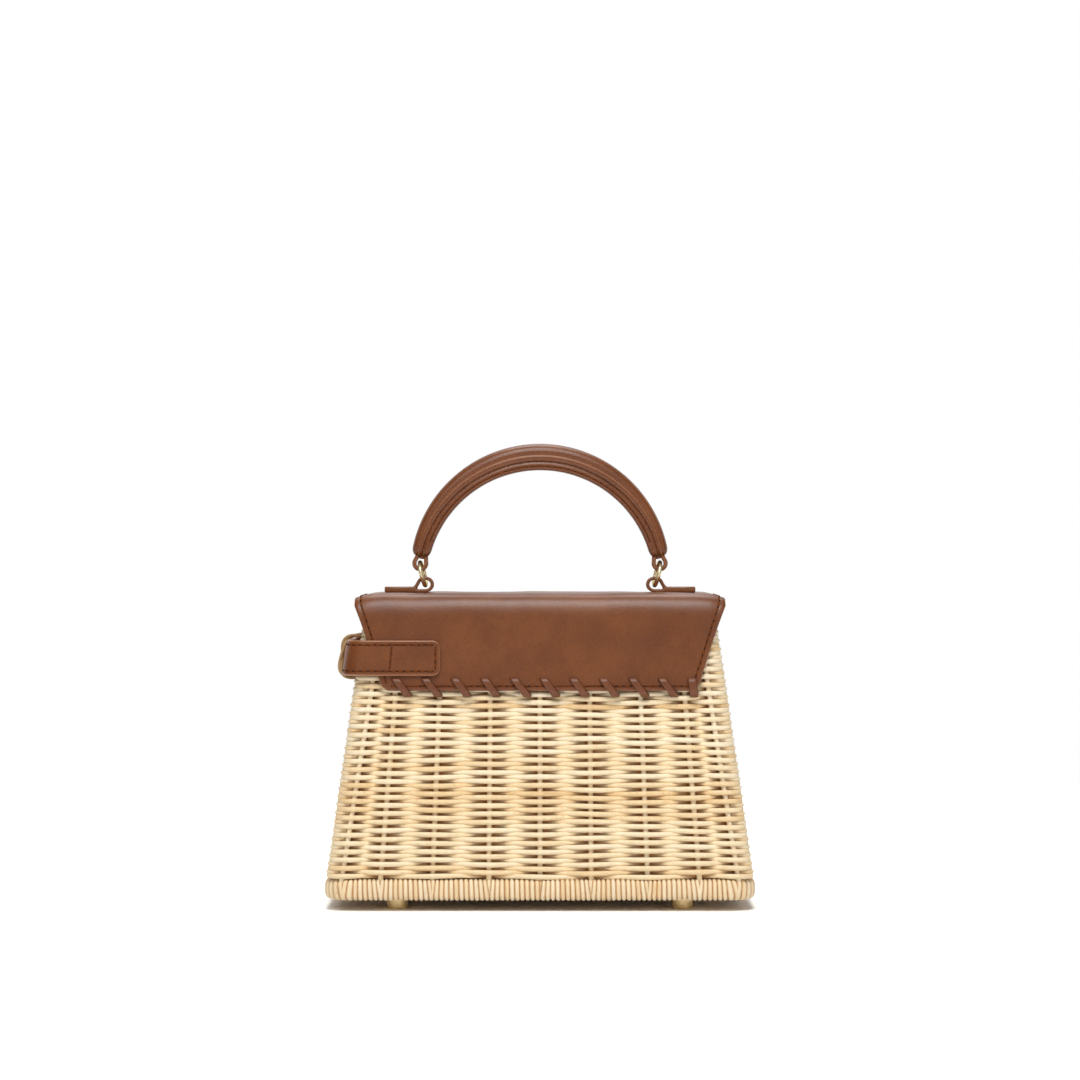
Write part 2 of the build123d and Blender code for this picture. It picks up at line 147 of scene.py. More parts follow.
class Shell:
    """Gathers skinned tubes and bands into one mesh, with strand attributes."""

    def __init__(self):
        self.verts, self.quads, self.caps, self.count = [], [], [], 0
        # The last attribute is a painted-light mask: painted shade in the weave's pockets, the rim grooves,
        # the needle holes and along the thongs, and painted highlight on the hide's edges.
        self.attrs = {"tone": [], "along": [], "around": [], "painted_light": []}

    def skin(self, rings, loop=False, tone=0.5, painted_light=0.0):
        rings = np.asarray(rings, float)
        n, m, _ = rings.shape
        base = self.count
        rows = n if loop else n - 1
        i = np.arange(rows)[:, None]
        j = np.arange(m)[None, :]
        nxt = (i + 1) % n
        right = (j + 1) % m
        quad = np.stack([i * m + j, i * m + right, nxt * m + right, nxt * m + j], -1)
        self.quads.append(base + quad.reshape(-1, 4))
        if not loop:
            self.caps.append(list(range(base + m - 1, base - 1, -1)))
            self.caps.append(list(range(base + (n - 1) * m, base + n * m)))
        self.verts.append(rings.reshape(-1, 3))
        self.count += n * m
        along = running(rings.mean(axis=1))[:, None]
        around = (np.arange(m) / m)[None, :]
        for key, value in (("tone", tone), ("along", along), ("around", around), ("painted_light", painted_light)):
            self.attrs[key].append(np.broadcast_to(value, (n, m)).reshape(-1))

    def make(self, name, material, slot):
        mesh = bpy.data.meshes.new(name)
        verts = np.vstack(self.verts) * MM
        faces = np.vstack(self.quads).tolist() + self.caps
        mesh.from_pydata(verts.tolist(), [], faces)
        for key, parts in self.attrs.items():
            layer = mesh.attributes.new(key, "FLOAT", "POINT")
            layer.data.foreach_set("value", np.concatenate(parts).astype(np.float32))
        bm = bmesh.new()
        bm.from_mesh(mesh)
        bmesh.ops.recalc_face_normals(bm, faces=bm.faces)
        bm.to_mesh(mesh)
        bm.free()
        mesh.polygons.foreach_set("use_smooth", [True] * len(mesh.polygons))
        mesh.materials.append(material)
        obj = bpy.data.objects.new(name, mesh)
        bpy.context.scene.collection.objects.link(obj)
        return obj


def sweep(path, section, up, loop=False):
    """Rings of a section carried along a path; section columns are (side, up)."""
    path = np.asarray(path, float)
    if loop:
        tangent = unit(np.roll(path, -1, 0) - np.roll(path, 1, 0))
    else:
        tangent = unit(np.gradient(path, axis=0))
    side = unit(np.cross(tangent, np.broadcast_to(up, path.shape)))
    top = np.cross(side, tangent)
    section = np.asarray(section, float)
    if section.ndim == 2:
        section = np.broadcast_to(section, (len(path),) + section.shape)
    return path[:, None] + section[..., :1] * side[:, None] + section[..., 1:] * top[:, None]


def oval(width, height, count):
    a = np.arange(count) * TURN / count
    return np.stack([width / 2 * np.cos(a), height / 2 * np.sin(a)], -1)


def band_section(thick, width, radius, cols=7, arc=4):
    """Rounded flat strip, thick across the side axis and wide along the up axis."""
    points = []
    h, w = thick / 2 - radius, width / 2 - radius
    corners = ((h, -w, -90), (h, w, 0), (-h, w, 90), (-h, -w, 180))
    for k, (cx, cy, start) in enumerate(corners):
        for t in np.linspace(start, start + 90, arc):
            a = math.radians(t)
            points.append((cx + radius * math.cos(a), cy + radius * math.sin(a)))
        ahead = corners[(k + 1) % 4]
        if k in (0, 2):
            last, nxt = points[-1], (points[-1][0], ahead[1])
            for f in np.linspace(0, 1, cols)[1:-1]:
                points.append((last[0], last[1] + (nxt[1] - last[1]) * f))
    return np.array(points)


def lathe(shell, profile, centre, axis, segments=44):
    """A turned piece: profile rows are (radius, height along the axis)."""
    axis = unit(axis)
    helper = np.array([0.0, 1.0, 0.0]) if abs(axis[1]) < 0.9 else np.array([1.0, 0.0, 0.0])
    e1 = unit(np.cross(axis, helper))
    e2 = np.cross(axis, e1)
    a = np.arange(segments) * TURN / segments
    spokes = np.cos(a)[:, None] * e1 + np.sin(a)[:, None] * e2
    rings = [np.asarray(centre) + axis * h + spokes * r for r, h in profile]
    shell.skin(rings)


def add_stitches(shell, path, normals, pitch=3.7, length=3.6, radius=0.5, rise=0.1):
    """Saddle stitches: fat threads whose ends lie in the needle holes and are coloured near black there, as
    painted shade.
    """
    s = running(path)
    count = int(s[-1] // pitch)
    start = (s[-1] - (count - 1) * pitch) / 2
    u = np.array([-1, -0.86, -0.74, -0.68, -0.35, 0, 0.35, 0.68, 0.74, 0.86, 1])
    swell = np.sqrt(np.maximum(1 - 0.75 * u ** 4, 0.04))
    hole = (np.abs(u) > 0.7).astype(float)[:, None]
    for i in range(count):
        at = start + i * pitch + u * length / 2
        p = at_length(path, s, at)
        n = unit(at_length(normals, s, at))
        lift = rise * (1 - 1.15 * u ** 2)
        ring = oval(2 * radius, 2 * radius, 7)[None] * swell[:, None, None]
        shell.skin(sweep(p + n * lift[:, None], ring, n), tone=rng.random(), painted_light=hole)


# Materials.

def material(name):
    mat = bpy.data.materials.new(name)
    mat.use_nodes = True
    tree = mat.node_tree
    return mat, tree.nodes, tree.links, tree.nodes["Principled BSDF"]


def node(nodes, kind, **sockets):
    made = nodes.new(kind)
    for key, value in sockets.items():
        made.inputs[key.replace("_", " ")].default_value = value
    return made


def attribute(nodes, key):
    made = nodes.new("ShaderNodeAttribute")
    made.attribute_name = key
    return made.outputs["Fac"]


def math_node(nodes, links, kind, a, b):
    made = nodes.new("ShaderNodeMath")
    made.operation = kind
    for k, value in enumerate((a, b)):
        if isinstance(value, (int, float)):
            made.inputs[k].default_value = value
        else:
            links.new(value, made.inputs[k])
    return made.outputs[0]


def ramp(nodes, links, source, stops):
    made = nodes.new("ShaderNodeValToRGB")
    band = made.color_ramp
    while len(band.elements) < len(stops):
        band.elements.new(0.5)
    for element, (place, colour) in zip(band.elements, stops):
        element.position = place
        element.color = (*colour, 1.0)
    links.new(source, made.inputs["Fac"])
    return made.outputs["Color"]


def mix_colour(nodes, links, factor, a, b, blend="MIX"):
    made = nodes.new("ShaderNodeMix")
    made.data_type = "RGBA"
    made.blend_type = blend
    for socket, value in ((made.inputs[0], factor), (made.inputs[6], a), (made.inputs[7], b)):
        if isinstance(value, (int, float)):
            socket.default_value = value
        elif isinstance(value, tuple):
            socket.default_value = (*value, 1.0)
        else:
            links.new(value, socket)
    return made.outputs[2]


def add_bump(nodes, links, bsdf, heights):
    """Chains bump nodes; heights rows are (source, strength, distance in mm)."""
    last = None
    for source, strength, distance in heights:
        bump = node(nodes, "ShaderNodeBump", Strength=strength, Distance=distance * MM)
        links.new(source, bump.inputs["Height"])
        if last is not None:
            links.new(last, bump.inputs["Normal"])
        last = bump.outputs["Normal"]
    links.new(last, bsdf.inputs["Normal"])


def rough_range(nodes, links, bsdf, source, low, high):
    span = node(nodes, "ShaderNodeMapRange", To_Min=low, To_Max=high)
    links.new(source, span.inputs["Value"])
    links.new(span.outputs["Result"], bsdf.inputs["Roughness"])


# Painted shade: multiplies the cane colour darker in the weave's pockets behind the stakes and in the
# grooves between the rim's wrap turns.
painted_crevice_shade = (0.50, 0.25, 0.07)


def cane_material(name, stops, low=0.42, high=0.62):
    mat, nodes, links, bsdf = material(name)
    tone = attribute(nodes, "tone")
    along = attribute(nodes, "along")
    around = attribute(nodes, "around")
    vector = nodes.new("ShaderNodeCombineXYZ")
    links.new(math_node(nodes, links, "MULTIPLY", along, 0.035), vector.inputs[0])
    links.new(math_node(nodes, links, "MULTIPLY", around, 3.0), vector.inputs[1])
    links.new(math_node(nodes, links, "MULTIPLY", tone, 91.0), vector.inputs[2])
    streak = node(nodes, "ShaderNodeTexNoise", Scale=2.2, Detail=4.0, Roughness=0.62)
    links.new(vector.outputs[0], streak.inputs["Vector"])
    fibre_vector = nodes.new("ShaderNodeCombineXYZ")
    links.new(math_node(nodes, links, "MULTIPLY", along, 0.12), fibre_vector.inputs[0])
    links.new(math_node(nodes, links, "MULTIPLY", around, 16.0), fibre_vector.inputs[1])
    links.new(math_node(nodes, links, "MULTIPLY", tone, 53.0), fibre_vector.inputs[2])
    fibre = node(nodes, "ShaderNodeTexNoise", Scale=1.6, Detail=3.0, Roughness=0.55)
    links.new(fibre_vector.outputs[0], fibre.inputs["Vector"])
    shade = math_node(nodes, links, "MULTIPLY", tone, 0.52)
    shade = math_node(nodes, links, "ADD", shade,
                      math_node(nodes, links, "MULTIPLY", streak.outputs["Fac"], 0.62))
    shade = math_node(nodes, links, "ADD", shade,
                      math_node(nodes, links, "MULTIPLY", fibre.outputs["Fac"], 0.16))
    shade = math_node(nodes, links, "SUBTRACT", shade, 0.14)
    colour = ramp(nodes, links, shade, stops)
    # Painted shade in the pockets and grooves, laid on by the per-point mask.
    pocket_shaded = mix_colour(nodes, links, 1.0, colour, painted_crevice_shade, "MULTIPLY")
    colour = mix_colour(nodes, links, attribute(nodes, "painted_light"), colour, pocket_shaded)
    links.new(colour, bsdf.inputs["Base Color"])
    rough_range(nodes, links, bsdf, fibre.outputs["Fac"], low, high)
    add_bump(nodes, links, bsdf, [(fibre.outputs["Fac"], 0.35, 0.25)])
    bsdf.inputs["Specular IOR Level"].default_value = 0.42
    return mat


def leather_material(name, dark, mid, light, edge_painted_light, low=0.31, high=0.46):
    mat, nodes, links, bsdf = material(name)
    coords = nodes.new("ShaderNodeTexCoord").outputs["Object"]
    mottle = node(nodes, "ShaderNodeTexNoise", Scale=42.0, Detail=5.0, Roughness=0.6)
    grain = node(nodes, "ShaderNodeTexVoronoi", Scale=1250.0)
    grain.feature = "SMOOTH_F1"
    pores = node(nodes, "ShaderNodeTexNoise", Scale=900.0, Detail=4.0, Roughness=0.65)
    crease = node(nodes, "ShaderNodeTexNoise", Scale=160.0, Detail=6.0, Roughness=0.7)
    for tex in (mottle, grain, pores, crease):
        links.new(coords, tex.inputs["Vector"])
    colour = ramp(nodes, links, mottle.outputs["Fac"], [(0.28, dark), (0.5, mid), (0.74, light)])
    fleck = ramp(nodes, links, pores.outputs["Fac"], [(0.32, (0.62, 0.55, 0.50)), (0.55, (1, 1, 1))])
    colour = mix_colour(nodes, links, 0.55, colour, fleck, "MULTIPLY")
    # Edge colour stands in for light: a painted highlight on the hide's rounded edges, a painted shadow
    # outline on the thongs.
    colour = mix_colour(nodes, links, attribute(nodes, "painted_light"), colour, edge_painted_light)
    links.new(colour, bsdf.inputs["Base Color"])
    rough_range(nodes, links, bsdf, crease.outputs["Fac"], low, high)
    add_bump(nodes, links, bsdf, [
        (grain.outputs["Distance"], 0.22, 0.16),
        (pores.outputs["Fac"], 0.18, 0.12),
        (crease.outputs["Fac"], 0.10, 0.5),
    ])
    bsdf.inputs["Specular IOR Level"].default_value = 0.5
    return mat


def metal_material(name, colour, low, high):
    mat, nodes, links, bsdf = material(name)
    coords = nodes.new("ShaderNodeTexCoord").outputs["Object"]
    cloud = node(nodes, "ShaderNodeTexNoise", Scale=130.0, Detail=4.0, Roughness=0.6)
    fine = node(nodes, "ShaderNodeTexNoise", Scale=420.0, Detail=5.0, Roughness=0.7)
    for tex in (cloud, fine):
        links.new(coords, tex.inputs["Vector"])
    dull = tuple(0.8 * c for c in colour)
    tint = ramp(nodes, links, cloud.outputs["Fac"], [(0.3, dull), (0.65, colour)])
    links.new(tint, bsdf.inputs["Base Color"])
    rough_range(nodes, links, bsdf, cloud.outputs["Fac"], low, high)
    add_bump(nodes, links, bsdf, [(fine.outputs["Fac"], 0.08, 0.05)])
    bsdf.inputs["Metallic"].default_value = 1.0
    bsdf.inputs["Specular Tint"].default_value = (*(0.7 * c for c in colour), 1.0)
    return mat


def thread_material(name, colour, hole_shade_colour):
    mat, nodes, links, bsdf = material(name)
    tone = attribute(nodes, "tone")
    twist = math_node(nodes, links, "ADD",
                      math_node(nodes, links, "MULTIPLY", attribute(nodes, "along"), 9.0),
                      math_node(nodes, links, "MULTIPLY", attribute(nodes, "around"), TURN))
    ply = math_node(nodes, links, "SINE", twist, 0.0)
    pale = tuple(min(1.0, 1.35 * c) for c in colour)
    shade = ramp(nodes, links, tone, [(0.0, colour), (1.0, pale)])
    # Thread ends in the needle holes get a near-black colour: painted shade.
    shade = mix_colour(nodes, links, attribute(nodes, "painted_light"), shade, hole_shade_colour)
    links.new(shade, bsdf.inputs["Base Color"])
    add_bump(nodes, links, bsdf, [(ply, 0.5, 0.1)])
    bsdf.inputs["Roughness"].default_value = 0.72
    bsdf.inputs["Specular IOR Level"].default_value = 0.1
    return mat


def wood_material(name):
    mat, nodes, links, bsdf = material(name)
    coords = nodes.new("ShaderNodeTexCoord").outputs["Object"]
    stretch = nodes.new("ShaderNodeMapping")
    stretch.inputs["Scale"].default_value = (14.0, 260.0, 90.0)
    links.new(coords, stretch.inputs["Vector"])
    grain = node(nodes, "ShaderNodeTexNoise", Scale=1.0, Detail=6.0, Roughness=0.6)
    links.new(stretch.outputs["Vector"], grain.inputs["Vector"])
    stops = [(0.3, (0.38, 0.23, 0.115)), (0.52, (0.55, 0.37, 0.20)), (0.75, (0.64, 0.46, 0.27))]
    links.new(ramp(nodes, links, grain.outputs["Fac"], stops), bsdf.inputs["Base Color"])
    rough_range(nodes, links, bsdf, grain.outputs["Fac"], 0.5, 0.7)
    add_bump(nodes, links, bsdf, [(grain.outputs["Fac"], 0.2, 0.3)])
    return mat


cane_stops = [
    (0.10, (0.60, 0.35, 0.145)), (0.30, (0.85, 0.60, 0.31)),
    (0.52, (0.93, 0.755, 0.49)), (0.84, (0.97, 0.855, 0.645)),
]
dark_cane_stops = [(0.15, (0.22, 0.115, 0.045)), (0.5, (0.42, 0.25, 0.11)), (0.9, (0.58, 0.39, 0.20))]
cane = cane_material("cane_weave", cane_stops)
stake_cane = cane_material("cane_stakes", cane_stops)
keeper_cane = cane_material("cane_keeper", dark_cane_stops)
# The hide's lighter edge colour is a painted highlight; the thong's dark edge colour is a painted shadow
# outline.
hide = leather_material("tan_leather", (0.122, 0.031, 0.004), (0.158, 0.042, 0.006),
                        (0.200, 0.058, 0.010), (0.340, 0.140, 0.060))
thong = leather_material("thong_leather", (0.125, 0.031, 0.005), (0.150, 0.040, 0.007),
                         (0.180, 0.052, 0.011), (0.055, 0.015, 0.004), 0.34, 0.48)
# The thread's near-black second colour is painted shade in the needle holes.
thread = thread_material("brown_thread", (0.125, 0.034, 0.007), (0.006, 0.002, 0.001))
gold = metal_material("pale_gold", (0.95, 0.80, 0.50), 0.26, 0.38)
brass = metal_material("foot_brass", (0.97, 0.78, 0.43), 0.40, 0.55)
steel = metal_material("plain_steel", (0.55, 0.55, 0.54), 0.30, 0.45)
wood = wood_material("base_plywood")


# The woven wall: two sets of strands that pass the stakes on opposite faces.

def outline(half_x, half_y, radius, steps=24):
    """Closed rounded rectangle from the middle of the rear side, towards +X."""
    pts, nrm = [(0.0, -half_y)], [(0.0, -1.0)]
    corners = ((1, -1, -90), (1, 1, 0), (-1, 1, 90), (-1, -1, 180))
    for sx, sy, start in corners:
        for t in np.linspace(start, start + 90, steps):
            a = math.radians(t)
            n = (math.cos(a), math.sin(a))
            pts.append((sx * (half_x - radius) + radius * n[0], sy * (half_y - radius) + radius * n[1]))
            nrm.append(n)
    pts.append(pts[0])
    nrm.append(nrm[0])
    pts, nrm = np.array(pts), np.array(nrm)
    return pts, nrm, running(pts)


def stake_stations(z, inset, radius):
    """Running lengths of the 28 stakes round the outline at height z."""
    hx, hy = half_width(z) - inset, half_depth(z) - inset
    run_x, run_y, arc = hx - radius, hy - radius, radius * math.pi / 2
    climb = (z - rim_top) / wall_height
    side = [a + (b - a) * climb for a, b in zip(stake_foot_x, stake_head_x)]
    end = [half_depth(z) * k for k in end_stake_shares]
    leaving = [arc * long_post, arc * end_post]
    coming = [arc - c for c in reversed(leaving)]
    s = [0.0] + side + [run_x + c for c in leaving]
    right = run_x + arc + run_y
    s += [right + k for k in end] + [right + run_y + c for c in coming]
    front = right + run_y + arc + run_x
    s += [front - k for k in reversed(side)] + [front] + [front + k for k in side]
    s += [front + run_x + c for c in leaving]
    left = front + run_x + arc + run_y
    s += [left + k for k in end] + [left + run_y + c for c in coming]
    whole = left + run_y + arc + run_x
    s += [whole - k for k in reversed(side)]
    return np.array(s), whole


wall_inset = stake / 2 + strand
wall_corner = weave_corner - wall_inset
strand_bite = 0.05
swing = stake / 2 + strand / 2 - strand_bite
long_posts, end_posts, round_corner = [4, 10, 18, 24], [5, 9, 19, 23], [4, 9, 18, 23]
beside_corner = [3, 10, 17, 24]
stake_count, end_post_swing = 28, 0.15
swing_share = np.ones(stake_count + 1)
swing_share[end_posts] = end_post_swing
corner_bow, upper_bow = 3.0, 1.6
crest_power, dip_power, corner_dip_power, beside_dip_power = 1.15, 2.8, 6.0, 1.7
rise_waves = ((0.3, 2), (0.22, 5), (0.12, 13))
gap_steps = np.array([0.0, 0.09, 0.2, 0.35, 0.5, 0.65, 0.8, 0.91])
per_gap = len(gap_steps)
row_drift = np.cumsum(0.5 * rng.random((row_count, 3)), axis=0) + rng.random(3) * TURN
weave = Shell()
strand_section = oval(strand * 0.96, strand * 1.07, 6)
for row in range(row_count):
    z = rim_top + row_pitch * (row + 0.5)
    pts, nrm, length = outline(half_width(z) - wall_inset, half_depth(z) - wall_inset, wall_corner)
    stations, whole = stake_stations(z, wall_inset, wall_corner)
    ends = np.append(stations, whole)
    f = gap_steps
    s = (ends[:-1, None] + f[None] * np.diff(ends)[:, None]).reshape(-1)
    u = (np.arange(len(stations))[:, None] + f[None]).reshape(-1)
    turn = TURN * s / whole
    phases = rng.random(3) * TURN
    pull = 1 + 0.05 * np.sin(3 * turn + phases[0]) + 0.04 * np.sin(7 * turn + phases[1])
    wave = np.cos(math.pi * (u + row)).reshape(len(stations), per_gap)
    # Strands dip in only close to a stake; round a corner both sets bow out.
    dip = np.full((len(stations), 1), dip_power)
    dip[round_corner], dip[beside_corner] = corner_dip_power, beside_dip_power
    wave = np.where(wave > 0, np.abs(wave) ** crest_power, -np.abs(wave) ** dip)
    wave = wave * (swing_share[:-1, None] * (1 - f) + swing_share[1:, None] * f)
    bow = np.zeros_like(wave)
    bow[round_corner] = (corner_bow + upper_bow * row / row_count) * np.sin(math.pi * f)
    wave, bow = wave.reshape(-1), bow.reshape(-1)
    offset = swing * pull * wave + bow
    rise = sum(height * np.sin(waves * turn + drift)
               for (height, waves), drift in zip(rise_waves, row_drift[row]))
    xy = at_length(pts, length, s) + unit(at_length(nrm, length, s)) * offset[:, None]
    path = np.column_stack([xy, z + rise])
    tone = 0.15 + 0.75 * rng.random() + 0.1 * np.sin(2 * turn + phases[2])
    facing = strand_section[:, 0] / strand_section[:, 0].max()
    # Painted shade: strand faces turned in towards the pockets between the stakes are darkened.
    pocket_shade = np.clip((-wave[:, None] * facing[None] - 0.12) / 0.7, 0, 1)
    # Strands look thickest where they cross a stake.
    plump = 0.98 + 0.14 * np.abs(wave)
    section = strand_section[None] * np.stack([np.ones_like(plump), plump], -1)[:, None]
    weave.skin(sweep(path, section, (0, 0, 1), True), loop=True, tone=tone[:, None], painted_light=pocket_shade)
weave_piece = weave.make("woven_wall", cane, "cane")
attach(weave_piece, "basket")
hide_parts("basket_wall")

stakes = Shell()
side_proud, long_post_proud, end_post_proud = 0.5, 0.9, -0.8
stake_proud = np.full(stake_count, side_proud)
stake_proud[long_posts], stake_proud[end_posts] = long_post_proud, end_post_proud
stake_tail = 3.0
heights = np.linspace(rim_top - stake_tail, wall_top + stake_tail, 9)
for k in range(stake_count):
    path = []
    for z in heights:
        pts, nrm, length = outline(half_width(z) - wall_inset, half_depth(z) - wall_inset, wall_corner)
        stations, whole = stake_stations(z, wall_inset, wall_corner)
        at = stations[k:k + 1]
        xy = at_length(pts, length, at) + unit(at_length(nrm, length, at)) * stake_proud[k]
        path.append([*xy[0], z])
    stakes.skin(sweep(path, oval(stake, stake, 10), (0, 1, 0.01)), tone=0.5 + 0.4 * rng.random())
stake_piece = stakes.make("wall_stakes", stake_cane, "cane")
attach(stake_piece, "basket")


# Base rim and mouth rim: a hoop wrapped all round with flat cane.

def wrapped_hoop(name, half_x, half_y, low, high, thick, radius, pitch, depth, node_name, seam):
    middle = (low + high) / 2
    inset = thick / 2
    pts, nrm, length = outline(half_x - inset, half_y - inset, radius - inset)
    turns, steps_per_turn, count, squareness = round(length[-1] / pitch), 9, 20, 0.62
    steps = turns * steps_per_turn
    s = np.arange(steps) * length[-1] / steps
    xy = at_length(pts, length, s)
    n = unit(at_length(nrm, length, s))
    a = np.arange(count) * TURN / count
    across = np.sign(np.cos(a)) * np.abs(np.cos(a)) ** squareness
    upward = np.sign(np.sin(a)) * np.abs(np.sin(a)) ** squareness
    # The spiral's jump from one turn to the next lies on the inner face.
    round_hoop = np.where(a > math.pi, a - TURN, a)
    slant = s[:, None] * turns / length[-1] + 0.4 * round_hoop[None] / TURN
    for place in seam:
        away = s[:, None] - place
        lean = np.sign(away) * np.exp(-np.abs(away) / 3.2)
        slant = slant - 0.42 * lean * np.clip(upward[None] + 0.6, 0, 1.6)
    t = np.mod(slant, 1.0)
    crown = np.sqrt(np.maximum(1 - np.abs(2 * t - 1) ** 3.0, 0))
    order = np.mod(np.floor(slant), turns).astype(int)
    tones = 0.3 + 0.45 * rng.random(turns)
    swell = 1 - depth / (thick / 2) * (1 - crown)
    out = across[None] * (thick / 2) * swell
    up = upward[None] * ((high - low) / 2) * (1 - depth / ((high - low) / 2) * (1 - crown))
    rings = np.empty((steps, count, 3))
    rings[..., 0] = xy[:, :1] + n[:, :1] * out
    rings[..., 1] = xy[:, 1:] + n[:, 1:] * out
    rings[..., 2] = middle + up
    hoop = Shell()
    # Painted shade in the grooves between the wrap turns.
    hoop.skin(rings, loop=True, tone=tones[order], painted_light=np.clip(2.0 * (1 - crown) - 0.1, 0, 1))
    hoop.attrs["along"] = [(np.broadcast_to(a[None] * 5.0, (steps, count))).reshape(-1)]
    hoop.attrs["around"] = [np.clip(t, 0, 1).reshape(-1)]
    piece = hoop.make(name, cane, "cane")
    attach(piece, "basket")
    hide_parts(node_name)


rim_stations, _ = stake_stations(rim_top, 4.25, 10.25)
wrapped_hoop("base_rim_wrap", half_x=110.0, half_y=48.5, low=rim_bottom, high=rim_top - 0.4, thick=9.5,
             radius=15.0, pitch=2.57, depth=1.6, node_name="base_rim", seam=rim_stations)
mouth_middle = mouth_top - 4
wrapped_hoop("mouth_rim_wrap", half_x=half_width(mouth_middle) - 0.4, half_y=half_depth(mouth_middle) - 0.4,
             low=wall_top - 0.2, high=mouth_top, thick=7.0, radius=13.0, pitch=2.6, depth=0.9,
             node_name="mouth_rim", seam=())


# One hide: rear panel, fold, lid and front flap.

def hide_profile():
    """Outer face from the rear foot over the top to the front foot: (y, z) and normals."""
    slope = np.array([math.sin(side_lean), math.cos(side_lean)])
    out = np.array([-math.cos(side_lean), math.sin(side_lean)])
    foot = np.array([-rear_foot_y, flap_bottom]) + out * leather / 2
    corner = foot + slope * (lid_top - foot[1]) / slope[1]
    fold_start = corner - slope * fold_fall
    run = float(np.linalg.norm(fold_start - foot))
    fold_stop = corner + np.array([fold_reach, 0.0])
    near = [0.0, 0.08, 0.3, 0.7, 1.4, 1.9, 2.4, 2.9, 3.5, 4.6]
    climb = np.concatenate([near, np.linspace(6.5, run, 16)])
    points = [foot + slope * d for d in climb]
    normals = [out] * len(climb)
    for t in np.linspace(0, 1, 16)[1:]:
        points.append((1 - t) ** 2 * fold_start + 2 * t * (1 - t) * corner + t ** 2 * fold_stop)
        along = unit((1 - t) * (corner - fold_start) + t * (fold_stop - corner))
        normals.append(np.array([-along[1], along[0]]))
    for y in np.linspace(fold_stop[0], 0.0, 12)[1:]:
        points.append(np.array([y, lid_top]))
        normals.append(np.array([0.0, 1.0]))
    mirror = np.array([-1.0, 1.0])
    points += [p * mirror for p in points[-2::-1]]
    normals += [n * mirror for n in normals[-2::-1]]
    return np.array(points), np.array(normals)


profile, profile_normal = hide_profile()
profile_run = running(profile)
from_foot = np.minimum(profile_run, profile_run[-1] - profile_run)


widest_below_top, droop_from, droop_rise = 3.5, 128.0, 30.0


def hide_half(z, foot_distance):
    share = np.clip((z - flap_bottom) / (lid_top - widest_below_top - flap_bottom), 0, 1)
    half = flap_half + (lid_half - flap_half) * share
    short = np.clip(flap_corner - foot_distance, 0, flap_corner)
    return half - (flap_corner - np.sqrt(flap_corner ** 2 - short ** 2))


def round_over(distance, radius=0.75):
    short = np.clip(radius - distance, 0, radius)
    return radius - np.sqrt(radius ** 2 - short ** 2)


def hide_drop(x, z):
    past = np.clip((np.abs(x) - droop_start) / (lid_half - droop_start), 0, 1)
    rise = np.clip((z - droop_from) / droop_rise, 0, 1)
    return droop * past ** 2 * rise * rise * (3 - 2 * rise)


def hide_relief(x, v):
    return (0.16 * np.sin(x / 13.0 + 0.7) * np.sin(v / 17.0 + 0.4)
            + 0.10 * np.sin(x / 7.1 - v / 11.0) + 0.05 * np.sin(x / 3.7 + v / 5.3))


hide_width = hide_half(profile[:, 1], from_foot)


def hide_point(x, k, depth):
    p = profile[k] - profile_normal[k] * depth
    return np.array([x, p[0], p[1] - hide_drop(x, profile[k][1])])


edge_stitch = 3.1
edge_steps = np.array([0.0, 0.08, 0.3, 0.75, 1.6, 2.3, 2.7, 3.1, 3.5, 4.2, 8.0])
inner_steps = np.array([0.0, 0.08, 0.3, 0.75, 3.0])
cover = Shell()
rings, edges = [], []
for k in range(len(profile)):
    w, v = hide_width[k], profile_run[k]
    shares = np.linspace(1, 0, 14)[1:]
    right = np.concatenate([w - edge_steps, (w - edge_steps[-1]) * shares])
    outer = np.concatenate([-right[:-1], right[::-1]])
    inner_right = np.concatenate([w - inner_steps, (w - inner_steps[-1]) * np.linspace(1, 0, 7)[1:]])
    inner = np.concatenate([inner_right, -inner_right[-2::-1]])
    foot_round = round_over(from_foot[k])
    # Cut edges and the foot of the hide are marked for the lighter edge colour, a painted highlight.
    ring, painted_light = [], []
    for x in outer:
        e = w - abs(x)
        groove = 0.2 * math.exp(-((e - edge_stitch) / 0.42) ** 2) if from_foot[k] > 3 else 0.0
        calm = min(1.0, e / 6.0)
        depth = max(round_over(e), foot_round) + groove - hide_relief(x, v) * calm
        ring.append(hide_point(x, k, depth))
        painted_light.append(1.0 if min(e, from_foot[k]) < 0.2 else 0.0)
    for x in inner:
        e = w - abs(x)
        ring.append(hide_point(x, k, leather - max(round_over(e), foot_round)))
        painted_light.append(1.0 if min(e, from_foot[k]) < 0.2 else 0.0)
    rings.append(ring)
    edges.append(painted_light)
cover.skin(rings, tone=0.5, painted_light=np.array(edges))
cover_piece = cover.make("leather_cover", hide, "leather")
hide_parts("rear_panel", "lid")

cover_thread = Shell()
for side in (-1, 1):
    line, lift = [], []
    for k in range(len(profile)):
        if from_foot[k] < 2.3:
            continue
        line.append(hide_point(side * (hide_width[k] - edge_stitch), k, 0.12))
        lift.append([0.0, *profile_normal[k]])
    add_stitches(cover_thread, np.array(line), np.array(lift))
rear_row = int(np.argmin(np.abs(profile_run - 2.4)))
for foot_row in (rear_row, len(profile) - 1 - rear_row):
    foot_x = np.linspace(hide_width[foot_row] - 4.5, -hide_width[foot_row] + 4.5, 40)
    add_stitches(cover_thread, np.array([hide_point(x, foot_row, 0.1) for x in foot_x]),
                 np.array([[0.0, *profile_normal[foot_row]]] * len(foot_x)))
cover_thread_piece = cover_thread.make("cover_stitching", thread, "leather")
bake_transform(cover_piece)
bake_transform(cover_thread_piece)


# Lacing along the rear foot: puffed thongs that dive into the hide and the weave.

